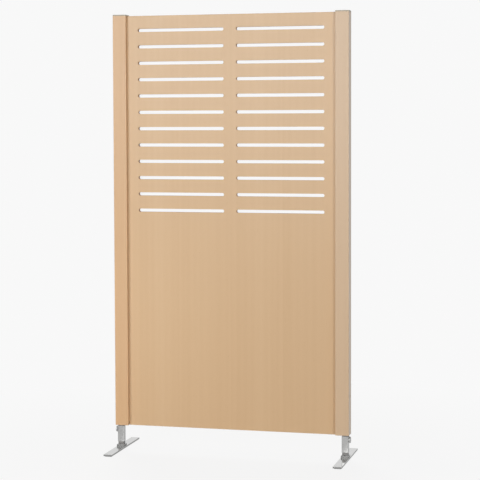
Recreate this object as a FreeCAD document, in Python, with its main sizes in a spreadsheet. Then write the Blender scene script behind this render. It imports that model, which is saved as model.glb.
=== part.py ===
import FreeCAD, Part
import math
import os
import re

import Sketcher

# A free-standing slit partition: one routed board held between two posts on two steel T-feet.
# Millimetres, +Z up, front towards -Y, origin on the floor midway between the feet.
# Posts, legs and feet are the same front to back, so a left one is a right one turned half round.

# The driving dimensions, each with what it measures.
SIZES = {
    "overall_width": (880, "width over the outer faces of the posts"),
    "post_length": (1513, "length of a post, and height of the board"),
    "post_width": (50, "post section, side to side"),
    "post_depth": (45, "post section, front to back"),
    "post_rounding": (1.5, "radius on the upright edges of a post"),
    "post_foot_chamfer": (1, "round the foot of a post"),
    "end_cap_height": (4.5, "cap on top of a post"),
    "end_cap_chamfer": (1, "round the top of an end cap"),
    "end_cap_pin_diameter": (8, "pins under an end cap"),
    "end_cap_pin_length": (12, "pins under an end cap"),
    "end_cap_pin_spacing": (20, "between the two pins under an end cap"),
    "panel_thickness": (15, "thickness of the board"),
    "edge_band": (1, "thickness of the edge bands"),
    "band_clearance": (0.2, "gap from an edge band's end to the post"),
    "groove_depth": (8, "groove in the post that the board's edge stands in"),
    "groove_clearance": (0.1, "gap each side of the board in the groove"),
    "groove_end_clearance": (0.5, "gap from the board's edge to the groove's floor"),
    "slit_side_margin": (41.5, "from the post to the end of the nearest slits"),
    "slit_middle_bar": (46, "solid strip between two columns of slits"),
    "slit_height": (12, "height of a slit, whose ends are half round"),
    "slit_pitch": (60, "from one row of slits to the next"),
    "slit_columns": (2, "columns of slits"),
    "slit_rows": (12, "rows of slits"),
    "slit_top_margin": (53, "board's top to the middle of the first row"),
    "bolt_rows": (2, "connector bolts in each post"),
    "bolt_end_margin": (140, "first and last connector bolt from the board's ends"),
    "bolt_diameter": (6, "connector bolt shank"),
    "bolt_head_diameter": (10, "connector bolt head"),
    "bolt_head_height": (6, "connector bolt head"),
    "bolt_overrun": (2.5, "bolt end past the barrel nut's axis"),
    "counterbore_diameter": (11, "recess for a bolt head and its cap"),
    "counterbore_depth": (16, "recess for a bolt head and its cap"),
    "cap_thickness": (3, "flush cap over a bolt head"),
    "cap_clearance": (0.1, "gap round a cap in its recess"),
    "barrel_diameter": (10, "barrel nut"),
    "barrel_recess": (0.5, "barrel nut's end below the board's back"),
    "barrel_cover": (1.5, "wood left in front of a barrel nut"),
    "barrel_setback": (30, "board's edge to the barrel nuts' axes"),
    "hole_clearance": (0.1, "radial gap round a shank in its hole"),
    "leg_inset": (16.5, "post's outer face to the leg's axis"),
    "tube_width": (25, "leg tube, side to side"),
    "tube_depth": (20, "leg tube, front to back"),
    "tube_wall": (1.5, "leg tube wall"),
    "tube_rounding": (3, "leg tube's outer corner radius"),
    "tube_length": (58, "leg tube"),
    "tube_top_gap": (5.5, "leg tube's top below the post"),
    "tongue_gap": (2, "bracket tongue to the foot plug inside the tube"),
    "plug_clearance": (0.15, "gap round the tongue and the plug in the tube"),
    "bracket_thickness": (3, "bracket plate"),
    "bracket_rounding": (3, "bracket plate's corner radius"),
    "bracket_edge_margin": (2.5, "bracket plate to the post's faces"),
    "bracket_groove_margin": (1, "bracket plate to the groove's floor"),
    "recess_clearance": (0.2, "gap round the plate let into the post"),
    "screw_diameter": (4, "bracket wood screw"),
    "screw_length": (30, "bracket wood screw"),
    "screw_head_diameter": (7.6, "bracket wood screw's countersunk head"),
    "screw_edge": (5.5, "bracket plate's edge to the screws"),
    "clamp_head_diameter": (23, "clamp screw's knurled head"),
    "clamp_head_height": (6, "clamp screw's knurled head"),
    "clamp_head_chamfer": (0.8, "clamp screw's head, outer rim"),
    "clamp_head_gap": (0.3, "clamp screw's head to the tube"),
    "clamp_post_gap": (6.5, "clamp screw's head to the post above it"),
    "clamp_diameter": (8, "clamp screw shank"),
    "clamp_length": (18, "clamp screw shank inside the tube's face"),
    "knurl_count": (8, "flutes round the clamp screw's head"),
    "knurl_radius": (2, "flute of the clamp screw's head"),
    "neck_height": (10, "foot plug showing between tube and flange"),
    "plug_insert": (22, "foot plug inside the tube"),
    "swivel_clearance": (0.1, "running gap between foot plug and flange"),
    "flange_width": (29, "foot flange, side to side"),
    "flange_depth": (34, "foot flange, front to back"),
    "flange_thickness": (8.5, "foot flange"),
    "flange_rounding": (3, "foot flange's corner radius"),
    "flange_chamfer": (1, "foot flange's top edge"),
    "bar_width": (32, "foot bar, side to side"),
    "bar_length": (320, "foot bar, front to back"),
    "bar_thickness": (6, "foot bar"),
    "bar_edge_chamfer": (0.5, "foot bar's top edge"),
    "foot_bolt_diameter": (8, "foot bolt shank"),
    "foot_bolt_head_diameter": (15, "foot bolt's countersunk head"),
    "foot_bolt_recess": (0.6, "foot bolt's head above the bar's underside"),
    "socket_across_flats": (5, "foot bolt's hexagon socket"),
    "socket_depth": (3, "foot bolt's hexagon socket"),
    "head_clearance": (0.3, "running gap between foot bolt head and countersink"),
    "nut_across_flats": (13, "captive nut"),
    "nut_thickness": (6.5, "captive nut"),
    "nut_clearance": (0.1, "gap round the captive nut in its pocket"),
    "pad_width": (26, "foot pad"),
    "pad_length": (40, "foot pad"),
    "pad_thickness": (2, "foot pad"),
    "pad_rounding": (3, "foot pad's corner radius"),
    "pad_end_margin": (4, "foot pad to the end of the bar"),
}

# Dimensions and places that follow from the ones above. A later line may use an earlier one.
PLACES = {
    "bar_top": "pad_thickness + bar_thickness",
    "flange_top": "bar_top + flange_thickness",
    "plug_bottom": "flange_top + swivel_clearance",
    "tube_bottom": "flange_top + neck_height",
    "plug_top": "tube_bottom + plug_insert",
    "tube_top": "tube_bottom + tube_length",
    "post_bottom": "tube_top + tube_top_gap",
    "post_top": "post_bottom + post_length",
    "core_height": "post_length - 2 * edge_band",
    "core_bottom": "post_bottom + edge_band",
    "post_x": "(overall_width - post_width) / 2",
    "leg_x": "overall_width / 2 - leg_inset",
    "leg_in_post": "post_width / 2 - leg_inset",
    "gap_between_posts": "overall_width - 2 * post_width",
    "panel_width": "gap_between_posts + 2 * (groove_depth - groove_end_clearance)",
    "band_length": "gap_between_posts - 2 * band_clearance",
    "groove_width": "panel_thickness + 2 * groove_clearance",
    "slit_field": "gap_between_posts - 2 * slit_side_margin",
    "slit_length": "(slit_field + slit_middle_bar) / slit_columns - slit_middle_bar",
    "column_span": "(slit_columns - 1) * (slit_length + slit_middle_bar)",
    "row_span": "(slit_rows - 1) * slit_pitch",
    "bolt_span": "post_length - 2 * bolt_end_margin",
    "bolt_in_core": "bolt_end_margin - edge_band",
    "end_cap_pin_x": "groove_depth / 2",
    "barrel_x": "panel_width / 2 - barrel_setback",
    "barrel_length": "panel_thickness - barrel_recess - barrel_cover",
    "bolt_seat_in_post": "post_width / 2 - counterbore_depth",
    "bolt_length": "post_x + bolt_seat_in_post - barrel_x + bolt_overrun",
    "bolt_hole": "bolt_diameter / 2 + hole_clearance",
    "socket_corner": "socket_across_flats / 2 / cos(30)",
    "tongue_insert": "tube_length - plug_insert - tongue_gap",
    "bore_width": "tube_width - 2 * tube_wall",
    "bore_depth": "tube_depth - 2 * tube_wall",
    "bore_rounding": "tube_rounding - tube_wall",
    "tongue_width": "bore_width - 2 * plug_clearance",
    "tongue_depth": "bore_depth - 2 * plug_clearance",
    "bracket_width": "post_width - groove_depth - bracket_groove_margin - bracket_edge_margin",
    "bracket_depth": "post_depth - 2 * bracket_edge_margin",
    "bracket_in_post": "(groove_depth + bracket_groove_margin - bracket_edge_margin) / 2",
    "bracket_x": "bracket_in_post - leg_in_post",
    "screw_x": "bracket_x - bracket_width / 2 + screw_edge",
    "screw_y": "bracket_depth / 2 - screw_edge",
    "screw_hole": "screw_diameter / 2 + hole_clearance",
    "screw_head_height": "(screw_head_diameter - screw_diameter) / 2",
    "clamp_drop": "clamp_head_diameter / 2 + clamp_post_gap",
    "clamp_hole": "clamp_diameter / 2 + hole_clearance",
    "foot_bolt_hole": "foot_bolt_diameter / 2 + hole_clearance",
    "foot_bolt_bottom": "pad_thickness + foot_bolt_recess",
    "foot_bolt_head_height": "(foot_bolt_head_diameter - foot_bolt_diameter) / 2",
    "countersink_radius": "foot_bolt_head_diameter / 2 + foot_bolt_recess + head_clearance",
    "nut_corner": "nut_across_flats / 2 / cos(30)",
    "nut_pocket_corner": "(nut_across_flats / 2 + nut_clearance) / cos(30)",
    "pad_span": "bar_length - pad_length - 2 * pad_end_margin",
}

UP = FreeCAD.Vector(0, 0, 1)
HALF_TURN = FreeCAD.Rotation(UP, 180)
# Turns a feature that is drawn along +Z to lie along another axis.
LIE = {
    "z": FreeCAD.Rotation(),
    "x": FreeCAD.Rotation(FreeCAD.Vector(0, 1, 0), 90),
    "-x": FreeCAD.Rotation(FreeCAD.Vector(0, 1, 0), -90),
    "-y": FreeCAD.Rotation(FreeCAD.Vector(1, 0, 0), 90),
}
# Rows that several pieces share: axis, span and count.
BOLT_ROW = ("Z_Axis", "bolt_span", "bolt_rows")
PAIR = "2"
PIN_PAIR = ("Y_Axis", "end_cap_pin_spacing", PAIR)
SCREW_GRID = (("Y_Axis", "2 * screw_y", PAIR), ("X_Axis", "-screw_x", PAIR))

doc = FreeCAD.newDocument("slit_partition")
pieces = []


# Sheets and expressions

def fill_sheets():
    """The driving dimensions and the places that follow from them, one cell each."""
    sizes = doc.addObject("Spreadsheet::Sheet", "Sizes")
    for row, (alias, (value, note)) in enumerate(SIZES.items(), start=1):
        sizes.set(f"A{row}", note)
        sizes.set(f"B{row}", str(value))
        sizes.setAlias(f"B{row}", alias)
    places = doc.addObject("Spreadsheet::Sheet", "Places")
    for row, (alias, text) in enumerate(PLACES.items(), start=1):
        places.set(f"A{row}", alias)
        places.set(f"B{row}", "=" + re.sub("[a-z_]+", lambda word: refer(word, ""), text))
        places.setAlias(f"B{row}", alias)
    doc.recompute()


def refer(word, places="Places."):
    """A word in a sum becomes a reference to its cell. Other words are functions."""
    name = word.group()
    if name in SIZES:
        return "Sizes." + name
    return places + name if name in PLACES else name


def formula(text):
    return re.sub("[a-z_]+", refer, text)


def bind(thing, **sums):
    """Each property of a thing follows its sum."""
    for name, text in sums.items():
        thing.setExpression(name, formula(text))


def place(thing, name, x, y, z):
    """A placement's position follows three sums."""
    for axis, text in zip("xyz", (x, y, z)):
        thing.setExpression(f"{name}.Base.{axis}", formula(text))


# Pieces, sketches and features

def new_piece(label, x="0", y="0", z="0", rotation=FreeCAD.Rotation()):
    body = doc.addObject("PartDesign::Body", label)
    body.Label = label
    body.AllowCompound = True
    body.Placement = FreeCAD.Placement(FreeCAD.Vector(), rotation)
    place(body, "Placement", x, y, z)
    pieces.append(body)
    return body


def side_piece(side, name, x, z):
    """A piece of the left or right post, leg or foot. Its own +X points outwards."""
    if side == "left":
        return new_piece(f"left_{name}", x=f"-({x})", z=z, rotation=HALF_TURN)
    return new_piece(f"right_{name}", x=x, z=z)


def origin_feature(body, role):
    return next(feature for feature in body.Origin.OriginFeatures if feature.Role == role)


def sketch_on(body, plane, x="0", y="0", z="0"):
    """An empty sketch whose own origin is moved off the body's origin plane."""
    sketch = body.newObject("Sketcher::SketchObject", body.Label + "_sketch")
    sketch.AttachmentSupport = (origin_feature(body, plane), [""])
    sketch.MapMode = "FlatFace"
    place(sketch, "AttachmentOffset", x, y, z)
    return sketch


def dimension(sketch, tag, constraint, text):
    """A named dimension of a sketch that follows its sum."""
    index = sketch.addConstraint(constraint)
    sketch.renameConstraint(index, tag)
    sketch.setExpression(f"Constraints.{tag}", formula(text))


def add_line(sketch, start, end):
    return sketch.addGeometry(Part.LineSegment(FreeCAD.Vector(*start, 0), FreeCAD.Vector(*end, 0)))


def add_arc(sketch, centre, radius, start, sweep):
    circle = Part.Circle(FreeCAD.Vector(*centre, 0), UP, radius)
    first = math.radians(start)
    return sketch.addGeometry(Part.ArcOfCircle(circle, first, first + math.radians(sweep)))


def rectangle(sketch, width, height):
    """A sharp-cornered rectangle centred on the sketch."""
    across = sketch.evalExpression(formula(width)) / 2
    up = sketch.evalExpression(formula(height)) / 2
    corners = [(-across, -up), (across, -up), (across, up), (-across, up)]
    lines = [add_line(sketch, corners[k], corners[(k + 1) % 4]) for k in range(4)]
    for k, line in enumerate(lines):
        sketch.addConstraint(Sketcher.Constraint("Coincident", line, 2, lines[(k + 1) % 4], 1))
        sketch.addConstraint(Sketcher.Constraint("Vertical" if k % 2 else "Horizontal", line))
    sketch.addConstraint(Sketcher.Constraint("Symmetric", lines[0], 1, lines[2], 1, -1, 1))
    side_to_side = Sketcher.Constraint("DistanceX", lines[0], 1, lines[0], 2, 2 * across)
    end_to_end = Sketcher.Constraint("DistanceY", lines[1], 1, lines[1], 2, 2 * up)
    dimension(sketch, "width", side_to_side, width)
    dimension(sketch, "height", end_to_end, height)


def round_rectangle(sketch, width, height, rounding, tag="outer"):
    """A round-cornered rectangle centred on the sketch."""
    across = sketch.evalExpression(formula(width)) / 2
    up = sketch.evalExpression(formula(height)) / 2
    radius = sketch.evalExpression(formula(rounding))
    flat = across - radius
    tall = up - radius
    ends = [
        ((-flat, -up), (flat, -up)),
        ((across, -tall), (across, tall)),
        ((flat, up), (-flat, up)),
        ((-across, tall), (-across, -tall)),
    ]
    centres = [(flat, -tall), (flat, tall), (-flat, tall), (-flat, -tall)]
    lines = [add_line(sketch, start, end) for start, end in ends]
    arcs = [add_arc(sketch, centre, radius, 90 * k - 90, 90) for k, centre in enumerate(centres)]
    for k in range(4):
        sketch.addConstraint(Sketcher.Constraint("Tangent", lines[k], 2, arcs[k], 1))
        sketch.addConstraint(Sketcher.Constraint("Tangent", arcs[k], 2, lines[(k + 1) % 4], 1))
        sketch.addConstraint(Sketcher.Constraint("Vertical" if k % 2 else "Horizontal", lines[k]))
    for arc in arcs[1:]:
        sketch.addConstraint(Sketcher.Constraint("Equal", arcs[0], arc))
    sketch.addConstraint(Sketcher.Constraint("Symmetric", lines[0], 1, lines[2], 1, -1, 1))
    corner = Sketcher.Constraint("Radius", arcs[0], radius)
    side_to_side = Sketcher.Constraint("DistanceX", lines[3], 1, lines[1], 1, 2 * across)
    end_to_end = Sketcher.Constraint("DistanceY", lines[0], 1, lines[2], 1, 2 * up)
    dimension(sketch, tag + "_rounding", corner, rounding)
    dimension(sketch, tag + "_width", side_to_side, width)
    dimension(sketch, tag + "_height", end_to_end, height)


def slot(sketch, length, height):
    """A level slot with half-round ends centred on the sketch."""
    radius = sketch.evalExpression(formula(height)) / 2
    flat = sketch.evalExpression(formula(length)) / 2 - radius
    low = add_line(sketch, (-flat, -radius), (flat, -radius))
    right = add_arc(sketch, (flat, 0), radius, -90, 180)
    high = add_line(sketch, (flat, radius), (-flat, radius))
    left = add_arc(sketch, (-flat, 0), radius, 90, 180)
    loop = [low, right, high, left]
    for k, curve in enumerate(loop):
        sketch.addConstraint(Sketcher.Constraint("Tangent", curve, 2, loop[(k + 1) % 4], 1))
    sketch.addConstraint(Sketcher.Constraint("Horizontal", low))
    sketch.addConstraint(Sketcher.Constraint("Horizontal", high))
    sketch.addConstraint(Sketcher.Constraint("Symmetric", low, 1, high, 1, -1, 1))
    line_to_line = Sketcher.Constraint("DistanceY", low, 1, high, 1, 2 * radius)
    straight = Sketcher.Constraint("DistanceX", low, 1, low, 2, 2 * flat)
    dimension(sketch, "height", line_to_line, height)
    dimension(sketch, "straight", straight, f"{length} - {height}")


def extrude(kind, sketch, length, both_ways=False, backwards=False):
    """A Pad along the sketch's normal, or a Pocket against it, unless backwards or both ways."""
    body = sketch.getParentGeoFeatureGroup()
    feature = body.newObject("PartDesign::" + kind, f"{body.Label}_{kind.lower()}")
    feature.Profile = (sketch, [""])
    feature.SideType = "Symmetric" if both_ways else "One side"
    feature.Reversed = backwards
    bind(feature, Length=length)
    doc.recompute()
    return feature


def primitive(body, kind, axis="z", x="0", y="0", z="0", **sums):
    """An additive or subtractive cylinder, cone or prism that starts at a point and runs along an axis."""
    feature = body.newObject("PartDesign::" + kind, f"{body.Label}_{kind.lower()}")
    feature.Placement = FreeCAD.Placement(FreeCAD.Vector(), LIE[axis])
    place(feature, "Placement", x, y, z)
    bind(feature, **sums)
    doc.recompute()
    return feature


def end_face(feature, direction):
    """Name of the face that lies furthest along a direction."""
    reach = [face.CenterOfMass.dot(direction) for face in feature.Shape.Faces]
    return f"Face{reach.index(max(reach)) + 1}"


def chamfer(body, direction, size):
    """A chamfer round the end face of the body's last feature."""
    base = body.Tip
    feature = body.newObject("PartDesign::Chamfer", body.Label + "_chamfer")
    feature.Base = (base, [end_face(base, direction)])
    bind(feature, Size=size)
    doc.recompute()


def repeat(original, first, second=None, downwards=False):
    """A row of one feature along an axis, or a grid along two. Each axis comes with its span and count."""
    body = original.getParentGeoFeatureGroup()
    pattern = body.newObject("PartDesign::LinearPattern", body.Label + "_row")
    pattern.Originals = [original]
    pattern.Reversed = downwards
    axis, span, count = first
    pattern.Direction = (origin_feature(body, axis), [""])
    bind(pattern, Length=span, Occurrences=count)
    if second:
        axis, span, count = second
        pattern.Direction2 = (origin_feature(body, axis), [""])
        bind(pattern, Length2=span, Occurrences2=count)
    body.Tip = pattern
    doc.recompute()


# The board

def make_panel():
    body = new_piece("slit_panel", z="core_bottom")
    board = sketch_on(body, "XZ_Plane", y="core_height / 2")
    rectangle(board, "panel_width", "core_height")
    extrude("Pad", board, "panel_thickness", both_ways=True)

    slit = sketch_on(body, "XZ_Plane", x="-column_span / 2", y="core_height + edge_band - slit_top_margin")
    slot(slit, "slit_length", "slit_height")
    cut = extrude("Pocket", slit, "2 * panel_thickness", both_ways=True)
    rows = ("Z_Axis", "row_span", "slit_rows")
    columns = ("X_Axis", "column_span", "slit_columns")
    repeat(cut, rows, columns, downwards=True)

    for start in ("-panel_width / 2", "barrel_x"):
        bolt_hole = primitive(body, "SubtractiveCylinder", "x", x=start, z="bolt_in_core",
                              Radius="bolt_hole", Height="barrel_setback")
        repeat(bolt_hole, BOLT_ROW)
    for middle in ("-barrel_x", "barrel_x"):
        nut_hole = primitive(body, "SubtractiveCylinder", "-y", x=middle, y="panel_thickness / 2",
                             z="bolt_in_core", Radius="barrel_diameter / 2 + hole_clearance",
                             Height="barrel_length + barrel_recess")
        repeat(nut_hole, BOLT_ROW)


def make_edge_band(end, z):
    body = new_piece(f"panel_{end}_edge_band", z=z)
    band = sketch_on(body, "XY_Plane")
    rectangle(band, "band_length", "panel_thickness")
    extrude("Pad", band, "edge_band")


# Posts and the fastenings in them

def make_post(side):
    body = side_piece(side, "post", "post_x", "post_bottom")
    section = sketch_on(body, "XY_Plane")
    round_rectangle(section, "post_width", "post_depth", "post_rounding")
    extrude("Pad", section, "post_length")
    chamfer(body, -UP, "post_foot_chamfer")

    groove = sketch_on(body, "XY_Plane", x="-post_width / 2")
    rectangle(groove, "2 * groove_depth", "groove_width")
    extrude("Pocket", groove, "post_length", backwards=True)

    recess = sketch_on(body, "XY_Plane", x="bracket_in_post")
    round_rectangle(recess, "bracket_width + 2 * recess_clearance", "bracket_depth + 2 * recess_clearance",
                    "bracket_rounding + recess_clearance")
    extrude("Pocket", recess, "bracket_thickness", backwards=True)

    pilot = primitive(body, "SubtractiveCylinder", x="leg_in_post + screw_x", y="-screw_y",
                      Radius="screw_hole", Height="screw_length")
    repeat(pilot, *SCREW_GRID)

    shank_hole = primitive(body, "SubtractiveCylinder", "x", x="-post_width / 2", z="bolt_end_margin",
                           Radius="bolt_hole", Height="post_width")
    repeat(shank_hole, BOLT_ROW)
    counterbore = primitive(body, "SubtractiveCylinder", "x", x="bolt_seat_in_post", z="bolt_end_margin",
                            Radius="counterbore_diameter / 2", Height="counterbore_depth")
    repeat(counterbore, BOLT_ROW)

    pin_hole = primitive(body, "SubtractiveCylinder", x="end_cap_pin_x", y="-end_cap_pin_spacing / 2",
                         z="post_length - end_cap_pin_length - hole_clearance",
                         Radius="end_cap_pin_diameter / 2 + hole_clearance",
                         Height="end_cap_pin_length + hole_clearance")
    repeat(pin_hole, PIN_PAIR)


def make_post_cap(side):
    """A flat cap whose pins stand in the post, beside the groove."""
    body = side_piece(side, "post_cap", "post_x", "post_top")
    section = sketch_on(body, "XY_Plane")
    round_rectangle(section, "post_width", "post_depth", "post_rounding")
    extrude("Pad", section, "end_cap_height")
    chamfer(body, UP, "end_cap_chamfer")
    pin = primitive(body, "AdditiveCylinder", x="end_cap_pin_x", y="-end_cap_pin_spacing / 2",
                    z="-end_cap_pin_length", Radius="end_cap_pin_diameter / 2", Height="end_cap_pin_length")
    repeat(pin, PIN_PAIR)


def make_connector_bolts(side):
    body = side_piece(side, "connector_bolts", "post_x", "post_bottom")
    shank = primitive(body, "AdditiveCylinder", "x", x="bolt_seat_in_post - bolt_length", z="bolt_end_margin",
                      Radius="bolt_diameter / 2", Height="bolt_length")
    repeat(shank, BOLT_ROW)
    head = primitive(body, "AdditiveCylinder", "x", x="bolt_seat_in_post", z="bolt_end_margin",
                     Radius="bolt_head_diameter / 2", Height="bolt_head_height")
    repeat(head, BOLT_ROW)


def make_bolt_caps(side):
    body = side_piece(side, "bolt_caps", "post_x", "post_bottom")
    cap = primitive(body, "AdditiveCylinder", "x", x="post_width / 2 - cap_thickness", z="bolt_end_margin",
                    Radius="counterbore_diameter / 2 - cap_clearance", Height="cap_thickness")
    repeat(cap, BOLT_ROW)


def make_barrel_nuts(side):
    """These go in from the board's back on both sides, so the left ones are not turned."""
    body = new_piece(f"{side}_barrel_nuts", x="-barrel_x" if side == "left" else "barrel_x", z="post_bottom")
    nut = primitive(body, "AdditiveCylinder", "-y", y="panel_thickness / 2 - barrel_recess",
                    z="bolt_end_margin", Radius="barrel_diameter / 2", Height="barrel_length")
    repeat(nut, BOLT_ROW)
    thread = primitive(body, "SubtractiveCylinder", "x", x="-barrel_diameter", z="bolt_end_margin",
                       Radius="bolt_hole", Height="2 * barrel_diameter")
    repeat(thread, BOLT_ROW)


# Legs

def make_socket_bracket(side):
    body = side_piece(side, "socket_bracket", "leg_x", "post_bottom")
    plate = sketch_on(body, "XY_Plane", x="bracket_x")
    round_rectangle(plate, "bracket_width", "bracket_depth", "bracket_rounding")
    extrude("Pad", plate, "bracket_thickness")

    tongue = sketch_on(body, "XY_Plane")
    round_rectangle(tongue, "tongue_width", "tongue_depth", "bore_rounding")
    extrude("Pad", tongue, "tube_top_gap + tongue_insert", backwards=True)
    primitive(body, "SubtractiveCylinder", "x", x="-tube_width / 2", z="-clamp_drop",
              Radius="clamp_hole", Height="tube_width")

    shank_hole = primitive(body, "SubtractiveCylinder", x="screw_x", y="-screw_y",
                           Radius="screw_hole", Height="bracket_thickness")
    repeat(shank_hole, *SCREW_GRID)
    countersink = primitive(body, "SubtractiveCone", x="screw_x", y="-screw_y", Height="screw_head_height",
                            Radius1="screw_head_diameter / 2 + hole_clearance", Radius2="screw_hole")
    repeat(countersink, *SCREW_GRID)


def make_bracket_screws(side):
    body = side_piece(side, "bracket_screws", "leg_x", "post_bottom")
    shank = primitive(body, "AdditiveCylinder", x="screw_x", y="-screw_y",
                      Radius="screw_diameter / 2", Height="screw_length")
    repeat(shank, *SCREW_GRID)
    head = primitive(body, "AdditiveCone", x="screw_x", y="-screw_y", Height="screw_head_height",
                     Radius1="screw_head_diameter / 2", Radius2="screw_diameter / 2")
    repeat(head, *SCREW_GRID)


def make_leg_tube(side):
    body = side_piece(side, "leg_tube", "leg_x", "tube_bottom")
    section = sketch_on(body, "XY_Plane")
    round_rectangle(section, "tube_width", "tube_depth", "tube_rounding")
    round_rectangle(section, "bore_width", "bore_depth", "bore_rounding", "bore")
    extrude("Pad", section, "tube_length")
    primitive(body, "SubtractiveCylinder", "x", z="tube_length + tube_top_gap - clamp_drop",
              Radius="clamp_hole", Height="tube_width")


def make_clamp_screw(side):
    """Its own +Z points outwards, away from the tube's outer face."""
    sign, lie = ("-", "-x") if side == "left" else ("", "x")
    body = new_piece(f"{side}_clamp_screw", x=f"{sign}(leg_x + tube_width / 2)", z="post_bottom - clamp_drop",
                     rotation=LIE[lie])
    primitive(body, "AdditiveCylinder", z="clamp_head_gap",
              Radius="clamp_head_diameter / 2", Height="clamp_head_height")
    chamfer(body, UP, "clamp_head_chamfer")
    flute = primitive(body, "SubtractiveCylinder", x="clamp_head_diameter / 2", z="clamp_head_gap",
                      Radius="knurl_radius", Height="clamp_head_height")
    knurl = body.newObject("PartDesign::PolarPattern", body.Label + "_knurl")
    knurl.Originals = [flute]
    knurl.Axis = (origin_feature(body, "Z_Axis"), [""])
    knurl.Angle = 360
    bind(knurl, Occurrences="knurl_count")
    body.Tip = knurl
    doc.recompute()
    primitive(body, "AdditiveCylinder", z="-clamp_length",
              Radius="clamp_diameter / 2", Height="clamp_length + clamp_head_gap")


def make_foot_plug(side):
    body = side_piece(side, "foot_plug", "leg_x", "plug_bottom")
    section = sketch_on(body, "XY_Plane")
    round_rectangle(section, "tongue_width", "tongue_depth", "bore_rounding")
    extrude("Pad", section, "plug_top - plug_bottom")
    primitive(body, "SubtractiveCylinder", Radius="foot_bolt_hole", Height="plug_top - plug_bottom")
    primitive(body, "SubtractivePrism", z="plug_top - plug_bottom - nut_thickness",
              Circumradius="nut_pocket_corner", Height="nut_thickness")


def make_captive_nut(side):
    body = side_piece(side, "captive_nut", "leg_x", "plug_top - nut_thickness")
    primitive(body, "AdditivePrism", Circumradius="nut_corner", Height="nut_thickness")
    primitive(body, "SubtractiveCylinder", Radius="foot_bolt_hole", Height="nut_thickness")


def make_foot_bolt(side):
    body = side_piece(side, "foot_bolt", "leg_x", "foot_bolt_bottom")
    primitive(body, "AdditiveCylinder", Radius="foot_bolt_diameter / 2", Height="plug_top - foot_bolt_bottom")
    primitive(body, "AdditiveCone", Height="foot_bolt_head_height",
              Radius1="foot_bolt_head_diameter / 2", Radius2="foot_bolt_diameter / 2")
    primitive(body, "SubtractivePrism", Circumradius="socket_corner", Height="socket_depth")


# Feet

def make_foot_flange(side):
    body = side_piece(side, "foot_flange", "leg_x", "bar_top")
    section = sketch_on(body, "XY_Plane")
    round_rectangle(section, "flange_width", "flange_depth", "flange_rounding")
    extrude("Pad", section, "flange_thickness")
    chamfer(body, UP, "flange_chamfer")
    primitive(body, "SubtractiveCylinder", Radius="foot_bolt_hole", Height="flange_thickness")


def make_foot_bar(side):
    body = side_piece(side, "foot_bar", "leg_x", "pad_thickness")
    section = sketch_on(body, "XY_Plane")
    rectangle(section, "bar_width", "bar_length")
    extrude("Pad", section, "bar_thickness")
    chamfer(body, UP, "bar_edge_chamfer")
    primitive(body, "SubtractiveCylinder", Radius="foot_bolt_hole", Height="bar_thickness")
    primitive(body, "SubtractiveCone", Radius1="countersink_radius", Radius2="foot_bolt_hole",
              Height="countersink_radius - foot_bolt_hole")


def make_foot_pads(side):
    body = side_piece(side, "foot_pads", "leg_x", "0")
    section = sketch_on(body, "XY_Plane", y="-pad_span / 2")
    round_rectangle(section, "pad_width", "pad_length", "pad_rounding")
    pad = extrude("Pad", section, "pad_thickness")
    repeat(pad, ("Y_Axis", "pad_span", PAIR))


# Checks and files

def check():
    """Nothing failed to recompute, every cut took something away and every piece is a sound solid."""
    doc.recompute()
    for thing in doc.Objects:
        if {"Invalid", "Error"} & set(thing.State):
            raise RuntimeError(f"{thing.Label} failed: {thing.State}")
        if "Subtractive" in thing.TypeId or thing.TypeId == "PartDesign::Pocket":
            if thing.Shape.Volume >= thing.BaseFeature.Shape.Volume:
                raise RuntimeError(f"{thing.Label} cuts nothing")
    for piece in pieces:
        if piece.Shape.isNull() or not piece.Shape.isValid() or not piece.Shape.Solids:
            raise RuntimeError(f"{piece.Label} is not a sound solid")


def write():
    os.makedirs("parts", exist_ok=True)
    for piece in pieces:
        piece.Shape.exportStep(f"parts/{piece.Label}.step")


fill_sheets()
make_panel()
make_edge_band("top", "post_top - edge_band")
make_edge_band("bottom", "post_bottom")
for side in ("left", "right"):
    make_post(side)
    make_post_cap(side)
    make_connector_bolts(side)
    make_barrel_nuts(side)
    make_bolt_caps(side)
    make_socket_bracket(side)
    make_bracket_screws(side)
    make_leg_tube(side)
    make_clamp_screw(side)
    make_foot_plug(side)
    make_captive_nut(side)
    make_foot_bolt(side)
    make_foot_flange(side)
    make_foot_bar(side)
    make_foot_pads(side)
check()
write()
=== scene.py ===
import math

import bpy
from mathutils import Euler, Matrix, Vector

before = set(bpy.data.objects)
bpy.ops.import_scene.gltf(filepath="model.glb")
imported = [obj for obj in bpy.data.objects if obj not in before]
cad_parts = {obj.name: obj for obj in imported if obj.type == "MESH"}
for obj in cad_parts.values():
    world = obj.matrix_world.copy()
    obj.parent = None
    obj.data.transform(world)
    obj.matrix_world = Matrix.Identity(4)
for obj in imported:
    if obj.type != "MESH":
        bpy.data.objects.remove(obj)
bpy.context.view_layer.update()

# Lengths are in metres and angles in radians. The partition's front faces -Y, and the floor is at Z = 0.

MICROMETRE = 0.000001

# The lens and the sensor are in millimetres, and the shift is a share of the picture's width.
CAMERA_PLACE = (1.427, -5.411, 1.218)
CAMERA_YAW = 0.2518
CAMERA_PITCH = 0.0493
CAMERA_ROLL = -0.0033
CAMERA_LENS = 115.6
CAMERA_SENSOR = 36.0
CAMERA_SHIFT = -0.090

# Brightness of the studio, where 1 is white.
BACKGROUND = 0.94
AMBIENT = 0.05
FLOOR_BOUNCE = 0.50
FLOOR_SHADES = (0.91, 0.94)
WHITE_LIGHT = (1.0, 1.0, 1.0)
WARM_LIGHT = (1.0, 0.87, 0.72)

FLOOR_SIZE = 60.0
FLOOR_CLOUDS = (3.0, 3.0, 3.0)
FLOOR_ROUGHNESS = 0.9
# The shadow on the floor fades out between these two distances from the part's middle.
SHADOW_REACH = (0.5, 1.6)
SHADOW_STRENGTH = 0.06

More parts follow.
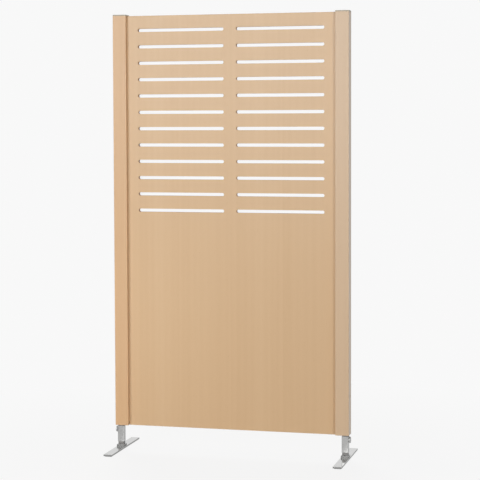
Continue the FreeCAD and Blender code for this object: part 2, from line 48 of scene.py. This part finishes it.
# Noises and tones swing about this value, and most of a noise lies in this range.
MIDDLE = 0.5
NOISE_RANGE = (0.3, 0.7)

# How far a face turns to an axis where it starts and where it fully counts as square to it, or as flat.
SQUARE_FACES = (0.6, 0.85)
FLAT_FACES = (0.3, 0.6)


def srgb(red, green, blue):
    """An sRGB colour in 0 to 255 as the linear colour that shaders use."""
    values = [value / 255 for value in (red, green, blue)]
    return tuple(v / 12.92 if v <= 0.04045 else ((v + 0.055) / 1.055) ** 2.4 for v in values) + (1.0,)


def shifted(colour, steps):
    """The linear colour of an sRGB one with a step added to each of its three values."""
    return srgb(*(value + step for value, step in zip(colour, steps)))


def grey(brightness):
    """A linear grey."""
    return (brightness, brightness, brightness, 1.0)


class Graph:
    """A material's nodes, added one at a time. Object coordinates are metres in the part's frame."""

    EDGE_SOFTNESS = 0.0006
    EDGE_SAMPLES = 4

    def __init__(self, name):
        self.material = bpy.data.materials.new(name)
        self.material.use_nodes = True
        self.tree = self.material.node_tree
        self.shader = self.tree.nodes["Principled BSDF"]
        self.place = self.add("TexCoord").outputs["Object"]

    def add(self, kind, values=None, **settings):
        """Adds a node, with its settings and what goes into its sockets."""
        node = self.tree.nodes.new("ShaderNode" + kind)
        for name, value in settings.items():
            setattr(node, name, value)
        for socket, value in (values or {}).items():
            self.feed(node.inputs[socket], value)
        return node

    def feed(self, socket, value):
        """Links another node's output to a socket, or sets a plain value on it."""
        if isinstance(value, bpy.types.NodeSocket):
            self.tree.links.new(value, socket)
        else:
            socket.default_value = value

    def surface(self, **values):
        """Sets the shader's own sockets, whose names are written with underscores."""
        for name, value in values.items():
            self.feed(self.shader.inputs[name.replace("_", " ")], value)

    def math(self, operation, *values):
        node = self.add("Math", dict(enumerate(values)), operation=operation)
        return node.outputs[0]

    def spread(self, value, low, high, to_low=0.0, to_high=1.0):
        """Maps one range of a value to another and holds it there."""
        values = {"Value": value, "From Min": low, "From Max": high, "To Min": to_low, "To Max": to_high}
        return self.add("MapRange", values).outputs["Result"]

    def outside(self, mask, value):
        """A value where a mask is 0, which falls to 0 where the mask is 1."""
        return self.spread(mask, 0.0, 1.0, value, 0.0)

    def noise(self, per_metre, detail=3.0, offset=0.0, warp=0.0):
        """Noise with its own count of features per metre along X, Y and Z."""
        moved = self.add("Mapping", {"Vector": self.place, "Location": (offset,) * 3, "Scale": per_metre})
        values = {"Vector": moved.outputs["Vector"], "Scale": 1.0, "Detail": detail, "Distortion": warp}
        return self.add("TexNoise", values).outputs["Fac"]

    def cells(self, per_metre):
        """Distance to the middle of the nearest of many small cells."""
        return self.add("TexVoronoi", {"Vector": self.place, "Scale": per_metre}).outputs["Distance"]

    def weigh(self, base, *pairs):
        """Adds to a base what each value departs from the middle, times its weight."""
        total = base
        for value, weight in pairs:
            total = self.math("MULTIPLY_ADD", self.math("SUBTRACT", value, MIDDLE), weight, total)
        return total

    def colours(self, value, stops):
        """A run of colours, each given with its position along the value."""
        ramp = self.add("ValToRGB", {"Fac": value})
        elements = ramp.color_ramp.elements
        while len(elements) < len(stops):
            elements.new(MIDDLE)
        for element, (position, colour) in zip(elements, stops):
            element.position = position
            element.color = colour
        return ramp.outputs["Color"]

    def mix(self, factor, first, second):
        """Mixes two colours. Several sockets of this node share a name, so numbers tell them apart."""
        node = self.add("Mix", {0: factor, 6: first, 7: second}, data_type="RGBA")
        return node.outputs[2]

    def facing(self, axis, least, most):
        """1 on faces that are square to the given axis, from the surface's own direction."""
        normal = self.add("NewGeometry").outputs["True Normal"]
        share = self.add("SeparateXYZ", {"Vector": normal}).outputs[axis]
        return self.spread(self.math("ABSOLUTE", share), least, most)

    def bump(self, height, depth, softness=EDGE_SOFTNESS):
        """Relief of a real depth, over edges that are slightly soft."""
        edge = self.add("Bevel", {"Radius": softness}, samples=self.EDGE_SAMPLES).outputs["Normal"]
        values = {"Height": height, "Distance": depth, "Strength": 1.0, "Normal": edge}
        return self.add("Bump", values).outputs["Normal"]


# Wood

# Positions along the tone from dark grain to pale wood, with the plain wood's colour there.
WOOD_TONES = (
    (0.00, (184, 144, 101)),
    (0.35, (203, 168, 127)),
    (0.60, (211, 178, 138)),
    (1.00, (223, 195, 159)),
)
# What is added to those colours on some pieces: warmer on the left post, paler and bluer on the right.
PLAIN = (0, 0, 0)
WARM = (2, -3, -5)
PALE = (-1, 4, 12)

# Features per metre across the grain, and the share of them along it, which shortening multiplies.
BAND_COUNT = 14.0
STREAK_COUNT = 340.0
FIBRE_COUNT = 900.0
FLECK_COUNT = 700.0
ALONG_GRAIN = 0.018
FLECK_SHORTENING = 9.0
# Only the highest peaks of the noise are flecks.
FLECK_PEAKS = (0.66, 0.74)
# Offsets that keep the noises of one piece out of step with each other.
STREAKS_APART = 3.0
FIBRES_APART = 7.0
FLECKS_APART = 11.0

# How much each feature moves the tone.
BAND_WEIGHT = 0.25
RING_WEIGHT = 0.03
STREAK_WEIGHT = 0.05
FIBRE_WEIGHT = 0.12
FLECK_WEIGHT = -0.14

RING_SPACING = 0.026
RING_SHORTENING = 3.0
RING_WAVER = 9.0
RING_WAVER_SCALE = 0.35
# A wave texture of scale 1 goes through this many radians in a metre.
WAVE_RADIANS = 20.0

LACQUER_ROUGHNESS = (0.29, 0.32)
LACQUER_SPECULAR = 0.65
PORE_DEPTH = 10.0 * MICROMETRE

# The veneer's leaves: their width, the step of painted shade from each to the next, darker towards the
# right, and how far off its figure is taken.
LEAF_WIDTH = 0.195
LEAF_SHADE_PAINTED_STEP = 0.015
LEAF_DEEPER = 1.7
LEAF_HIGHER = 0.6

END_GRAIN_STOPS = ((0.2, srgb(158, 118, 78)), (0.8, srgb(196, 160, 118)))
END_RING_SCALE = 55.0
END_RING_WAVER = 1.2
END_SHIFT = 0.09
END_PORES = (1500.0, 1500.0, 40.0)

CORE_STOPS = ((0.2, srgb(158, 118, 82)), (0.8, srgb(188, 148, 110)))
CORE_CHIPS = 420.0
CORE_DUST = (1800.0, 1800.0, 1800.0)
CORE_ROUGHNESS = 0.75


def stretched(grain, across, shortening=1.0):
    """Features per metre along X, Y and Z, drawn out along the grain."""
    along = across * (ALONG_GRAIN * shortening)
    return {"x": (along, across, across), "z": (across, across, along)}[grain]


def lay_leaves(graph):
    """Cuts the veneer into upright leaves, each with its own figure, and gives the painted shade that
    darkens them towards the right.
    """
    across = graph.add("SeparateXYZ", {"Vector": graph.place}).outputs["X"]
    leaf = graph.math("FLOOR", graph.math("DIVIDE", across, LEAF_WIDTH))
    deeper = graph.math("MULTIPLY", leaf, LEAF_DEEPER)
    higher = graph.math("MULTIPLY", leaf, LEAF_HIGHER)
    shift = graph.add("CombineXYZ", {"X": 0.0, "Y": deeper, "Z": higher}).outputs["Vector"]
    graph.place = graph.add("VectorMath", {0: graph.place, 1: shift}, operation="ADD").outputs["Vector"]
    # The tone falls from leaf to leaf towards the right, as painted shade where the light falls off across
    # the board. Half a leaf is added so that it is unchanged in the board's middle.
    return graph.math("MULTIPLY_ADD", graph.math("ADD", leaf, 0.5), -LEAF_SHADE_PAINTED_STEP, MIDDLE)


def growth_rings(graph, grain, offset):
    """Growth rings cut lengthwise: wavering lines that close into long arches."""
    scale = stretched(grain, 1.0, RING_SHORTENING)
    moved = graph.add("Mapping", {"Vector": graph.place, "Location": (offset,) * 3, "Scale": scale})
    values = {
        "Vector": moved.outputs["Vector"],
        "Scale": 2.0 * math.pi / (WAVE_RADIANS * RING_SPACING),
        "Distortion": RING_WAVER,
        "Detail": 2.0,
        "Detail Scale": RING_WAVER_SCALE,
    }
    across = {"x": "Z", "z": "X"}[grain]
    wave = graph.add("TexWave", values, wave_type="BANDS", bands_direction=across, wave_profile="SIN")
    return wave.outputs["Fac"]


def end_colour(graph, offset):
    """Growth rings seen end on, nearly straight because the log's heart is far away, with their pores."""
    moved = graph.add("Mapping", {"Vector": graph.place, "Location": (offset, END_SHIFT, 0.0)})
    values = {
        "Vector": moved.outputs["Vector"],
        "Scale": END_RING_SCALE,
        "Distortion": END_RING_WAVER,
        "Detail": 2.0,
    }
    rings = graph.add("TexWave", values, wave_type="RINGS", rings_direction="Z").outputs["Fac"]
    pores = graph.noise(END_PORES, detail=1.0, offset=offset)
    return graph.colours(graph.weigh(MIDDLE, (rings, 0.4), (pores, 0.5)), END_GRAIN_STOPS)


def core_colour(graph):
    """The board's sealed core, where the slits cut through it: pressed fibre with coarse chips."""
    chips = graph.cells(CORE_CHIPS)
    dust = graph.noise(CORE_DUST, detail=2.0)
    return graph.colours(graph.weigh(MIDDLE, (chips, 0.8), (dust, 0.6)), CORE_STOPS)


def wood(name, grain="z", offset=0.0, shade=PLAIN, leaves=False, end_grain=None, core=None):
    """Lacquered beech: broad bands, growth rings, fine streaks, short ray flecks and shallow pores."""
    graph = Graph(name)
    # Where there are leaves, a painted shade darkens them step by step towards the right.
    painted_leaf_shade = [(lay_leaves(graph), 1.0)] if leaves else []
    bands = graph.noise(stretched(grain, BAND_COUNT), detail=2.0, offset=offset, warp=0.6)
    rings = growth_rings(graph, grain, offset)
    streak_size = stretched(grain, STREAK_COUNT)
    streaks = graph.noise(streak_size, detail=3.0, offset=offset + STREAKS_APART, warp=0.3)
    fibres = graph.noise(stretched(grain, FIBRE_COUNT), detail=2.0, offset=offset + FIBRES_APART)
    fleck_size = stretched(grain, FLECK_COUNT, FLECK_SHORTENING)
    peaks = graph.noise(fleck_size, detail=1.0, offset=offset + FLECKS_APART)
    flecks = graph.spread(peaks, *FLECK_PEAKS)
    tone = graph.weigh(MIDDLE, (bands, BAND_WEIGHT), (rings, RING_WEIGHT), (streaks, STREAK_WEIGHT),
                       (fibres, FIBRE_WEIGHT), (flecks, FLECK_WEIGHT), *painted_leaf_shade)
    colour = graph.colours(tone, [(position, shifted(plain, shade)) for position, plain in WOOD_TONES])
    roughness = graph.spread(streaks, *NOISE_RANGE, *LACQUER_ROUGHNESS)
    if end_grain:
        end = graph.facing(end_grain, *SQUARE_FACES)
        colour = graph.mix(end, colour, end_colour(graph, offset))
    if core:
        face = graph.facing(core, *SQUARE_FACES)
        colour = graph.mix(face, core_colour(graph), colour)
        roughness = graph.math("MAXIMUM", roughness, graph.outside(face, CORE_ROUGHNESS))
    pores = graph.weigh(MIDDLE, (fibres, 0.7), (flecks, -0.5))
    graph.surface(Base_Color=colour, Roughness=roughness, Specular_IOR_Level=LACQUER_SPECULAR,
                  Normal=graph.bump(pores, PORE_DEPTH))
    return graph.material


# Steel, plastic and rubber

# Brushing in features per metre. It runs along the axis where they are few. Turned steel has no such axis.
BRUSHED_UPRIGHT = (2600.0, 2600.0, 25.0)
BRUSHED_ALONG_BAR = (1500.0, 12.0, 1500.0)
MILLED_ALONG_BAR = (1400.0, 12.0, 1400.0)
TURNED_ALL_ROUND = (1400.0, 1400.0, 1400.0)

STEEL_CLOUDS = (30.0, 30.0, 30.0)
STEEL_DARKER = (-10, -10, -10)
STEEL_LIGHTER = (8, 8, 8)
STEEL_EDGE_SOFTNESS = 0.0004
CUT_ROUGHNESS = 0.4

COATING_CLOUDS = (45.0, 45.0, 45.0)

ZINC_STOPS = ((0.0, srgb(150, 150, 146)), (0.6, srgb(190, 190, 186)), (1.0, srgb(205, 202, 190)))
ZINC_CRYSTALS = 600.0
ZINC_CLOUDS = (120.0, 120.0, 120.0)
ZINC_ROUGHNESS = (0.28, 0.45)
ZINC_DEPTH = 30.0 * MICROMETRE
ZINC_EDGE_SOFTNESS = 0.0003


def steel_colours(graph, wear, colour):
    """Runs from a little darker than a colour to a little lighter."""
    darker = shifted(colour, STEEL_DARKER)
    lighter = shifted(colour, STEEL_LIGHTER)
    return graph.colours(wear, ((0.0, darker), (1.0, lighter)))


def steel(name, colour, roughness, brushing, depth, painted_side_shade=None):
    """Brushed metal. Its sides, which don't face up or down, may take a darker colour as painted shade,
    and are then rougher like cut edges.
    """
    graph = Graph(name)
    lines = graph.noise(brushing, detail=3.0)
    clouds = graph.noise(STEEL_CLOUDS, detail=3.0, offset=5.0)
    wear = graph.weigh(MIDDLE, (clouds, 0.6), (lines, 0.25))
    tint = steel_colours(graph, wear, colour)
    sway = 0.5 * roughness
    uneven = graph.weigh(roughness, (clouds, sway), (lines, sway))
    # Sides that don't face up or down get a darker colour, which is painted shade, and a rougher finish.
    if painted_side_shade:
        flat = graph.facing("Z", *FLAT_FACES)
        tint = graph.mix(flat, steel_colours(graph, wear, painted_side_shade), tint)
        uneven = graph.math("MAXIMUM", uneven, graph.outside(flat, CUT_ROUGHNESS))
    graph.surface(Base_Color=tint, Metallic=1.0, Roughness=uneven,
                  Normal=graph.bump(lines, depth, STEEL_EDGE_SOFTNESS))
    return graph.material


def coating(name, dark, light, roughness, grain, depth):
    """Powder coat, moulded plastic or rubber: a fine even texture with faint cloudiness."""
    graph = Graph(name)
    texture = graph.noise((grain,) * 3, detail=2.0)
    clouds = graph.noise(COATING_CLOUDS, detail=3.0, offset=2.0)
    tone = graph.weigh(MIDDLE, (clouds, 0.7), (texture, 0.5))
    graph.surface(Base_Color=graph.colours(tone, ((0.0, srgb(*dark)), (1.0, srgb(*light)))),
                  Roughness=graph.weigh(roughness, (clouds, 0.14), (texture, 0.10)),
                  Normal=graph.bump(texture, depth))
    return graph.material


def zinc(name):
    """Zinc plate: pale mottled crystals with a faint warm tint."""
    graph = Graph(name)
    crystals = graph.cells(ZINC_CRYSTALS)
    clouds = graph.noise(ZINC_CLOUDS, detail=3.0)
    tone = graph.weigh(MIDDLE, (crystals, 0.5), (clouds, 0.6))
    graph.surface(Base_Color=graph.colours(tone, ZINC_STOPS), Metallic=1.0,
                  Roughness=graph.spread(clouds, *NOISE_RANGE, *ZINC_ROUGHNESS),
                  Normal=graph.bump(crystals, ZINC_DEPTH, ZINC_EDGE_SOFTNESS))
    return graph.material


# Which piece has which material

def wooden_looks():
    """The board, its edge bands and the posts, each with a figure of its own."""
    return {
        "slit_panel": wood("panel_veneer", leaves=True, core="Y"),
        "panel_top_edge_band": wood("edge_veneer_top", grain="x", offset=21.0),
        "panel_bottom_edge_band": wood("edge_veneer_bottom", grain="x", offset=27.0),
        "left_post": wood("post_wood_left", offset=31.0, shade=WARM, end_grain="Z"),
        "right_post": wood("post_wood_right", offset=43.0, shade=PALE, end_grain="Z"),
    }


def metal_looks():
    """The legs, feet and fasteners, which are alike on both sides."""
    looks = {
        "leg_tube": steel("satin_steel", (172, 172, 171), roughness=0.29,
                          brushing=BRUSHED_UPRIGHT, depth=2.0 * MICROMETRE),
        # The darker colours on the bar's and the flange's sides are painted shade.
        "foot_bar": steel("polished_steel", (200, 200, 199), roughness=0.13,
                          brushing=BRUSHED_ALONG_BAR, depth=0.5 * MICROMETRE, painted_side_shade=(142, 142, 141)),
        "foot_flange": steel("milled_steel", (186, 186, 185), roughness=0.30,
                             brushing=MILLED_ALONG_BAR, depth=2.0 * MICROMETRE, painted_side_shade=(114, 114, 113)),
        "clamp_screw": steel("turned_steel", (170, 170, 169), roughness=0.42,
                             brushing=TURNED_ALL_ROUND, depth=10.0 * MICROMETRE),
    }
    plated = zinc("zinc_steel")
    for piece in ("connector_bolts", "barrel_nuts", "bracket_screws", "captive_nut", "foot_bolt"):
        looks[piece] = plated
    return looks


def coated_looks():
    """The coated, moulded and rubber pieces, which are alike on both sides."""
    return {
        "socket_bracket": coating("grey_steel", dark=(124, 124, 124), light=(142, 142, 142),
                                  roughness=0.48, grain=1800.0, depth=60.0 * MICROMETRE),
        "foot_plug": coating("grey_plastic", dark=(119, 119, 119), light=(137, 137, 137),
                             roughness=0.55, grain=2600.0, depth=40.0 * MICROMETRE),
        "post_cap": coating("end_cap_plastic", dark=(178, 168, 149), light=(198, 188, 169),
                            roughness=0.50, grain=2200.0, depth=40.0 * MICROMETRE),
        "bolt_caps": coating("cap_plastic", dark=(186, 152, 112), light=(206, 174, 134),
                             roughness=0.50, grain=1400.0, depth=30.0 * MICROMETRE),
        "foot_pads": coating("pad_rubber", dark=(30, 30, 31), light=(48, 48, 48),
                             roughness=0.80, grain=1200.0, depth=80.0 * MICROMETRE),
    }


def dress():
    """Gives every piece of the frame its material."""
    looks = wooden_looks()
    for piece, material in {**metal_looks(), **coated_looks()}.items():
        for side in ("left", "right"):
            looks[f"{side}_{piece}"] = material
    for name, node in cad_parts.items():
        node.data.materials.clear()
        node.data.materials.append(looks[name])


# Floor, light and camera

def seen_directly(tree):
    """1 on rays that come from the camera, from a mirror-like surface or through glass."""
    path = tree.nodes.new("ShaderNodeLightPath")
    total = path.outputs["Is Camera Ray"]
    for name in ("Is Glossy Ray", "Is Transmission Ray"):
        either = tree.nodes.new("ShaderNodeMath")
        either.operation = "MAXIMUM"
        tree.links.new(total, either.inputs[0])
        tree.links.new(path.outputs[name], either.inputs[1])
        total = either.outputs[0]
    return total


def make_floor():
    """A pale floor that fades into the background and keeps a faint shadow round the feet."""
    bpy.ops.mesh.primitive_plane_add(size=FLOOR_SIZE)
    floor = bpy.context.object
    floor.name = "floor"
    graph = Graph("floor")
    floor.data.materials.append(graph.material)
    darker, lighter = FLOOR_SHADES
    clouds = graph.noise(FLOOR_CLOUDS, detail=2.0)
    pale = graph.colours(clouds, ((0.0, grey(darker)), (1.0, grey(lighter))))
    graph.surface(Base_Color=pale, Roughness=FLOOR_ROUGHNESS)
    away = graph.add("VectorMath", {0: graph.place}, operation="LENGTH").outputs["Value"]
    near = graph.spread(away, *SHADOW_REACH, SHADOW_STRENGTH, 0.0)
    glow = graph.add("Emission", {"Color": grey(BACKGROUND), "Strength": 1.0})
    shown = graph.add("MixShader", {0: near, 1: glow.outputs[0], 2: graph.shader.outputs["BSDF"]})
    bounce = graph.add("BsdfDiffuse", {"Color": grey(FLOOR_BOUNCE)})
    seen = seen_directly(graph.tree)
    final = graph.add("MixShader", {0: seen, 1: bounce.outputs[0], 2: shown.outputs[0]})
    graph.feed(graph.tree.nodes["Material Output"].inputs["Surface"], final.outputs[0])


def make_world():
    """A faint light from all round, and the white background that is seen behind."""
    world = bpy.data.worlds.new("studio")
    world.use_nodes = True
    tree = world.node_tree
    light = tree.nodes["Background"]
    light.inputs["Color"].default_value = grey(1.0)
    light.inputs["Strength"].default_value = AMBIENT
    seen = tree.nodes.new("ShaderNodeBackground")
    seen.inputs["Color"].default_value = grey(BACKGROUND)
    both = tree.nodes.new("ShaderNodeMixShader")
    tree.links.new(seen_directly(tree), both.inputs[0])
    tree.links.new(light.outputs[0], both.inputs[1])
    tree.links.new(seen.outputs[0], both.inputs[2])
    tree.links.new(both.outputs[0], tree.nodes["World Output"].inputs["Surface"])
    bpy.context.scene.world = world


def add_lamp(name, place, aim, size, power, colour=WHITE_LIGHT, mirrored=True):
    """A rectangular lamp with its power in watts. One that isn't mirrored shows on no glossy surface."""
    data = bpy.data.lights.new(name, "AREA")
    data.shape = "RECTANGLE"
    data.size, data.size_y = size
    data.energy = power
    data.color = colour
    lamp = bpy.data.objects.new(name, data)
    lamp.location = place
    lamp.visible_glossy = mirrored
    lamp.rotation_euler = (Vector(aim) - Vector(place)).to_track_quat("-Z", "Y").to_euler()
    bpy.context.collection.objects.link(lamp)


def add_lamps():
    """A large soft lamp in front, one from the right, a low warm one at the left and one behind."""
    add_lamp("softbox", place=(-1.6, -7.2, 2.3), aim=(-0.3, 0.0, 1.4), size=(7.0, 3.0), power=207.0)
    add_lamp("right", place=(7.0, -9.0, 1.2), aim=(0.0, 0.0, 0.7), size=(4.0, 4.0), power=550.0)
    add_lamp("left", place=(-1.5, -2.3, 0.2), aim=(0.0, 0.0, 0.0), size=(1.5, 0.3), power=17.5,
             colour=WARM_LIGHT, mirrored=False)
    add_lamp("back", place=(-3.0, 6.0, 6.0), aim=(0.0, 0.0, 0.8), size=(4.0, 4.0), power=565.0,
             mirrored=False)


def make_camera():
    """A long lens from the front right, a little above the middle of the part."""
    data = bpy.data.cameras.new("camera")
    data.lens = CAMERA_LENS
    data.sensor_width = CAMERA_SENSOR
    data.shift_y = CAMERA_SHIFT
    camera = bpy.data.objects.new("camera", data)
    level = Euler((math.pi / 2 - CAMERA_PITCH, 0.0, CAMERA_YAW)).to_matrix()
    turn = level @ Matrix.Rotation(CAMERA_ROLL, 3, "Z")
    camera.matrix_world = Matrix.Translation(CAMERA_PLACE) @ turn.to_4x4()
    bpy.context.collection.objects.link(camera)
    bpy.context.scene.camera = camera


dress()
make_floor()
make_world()
add_lamps()
make_camera()
bpy.context.scene.view_settings.view_transform = "Standard"
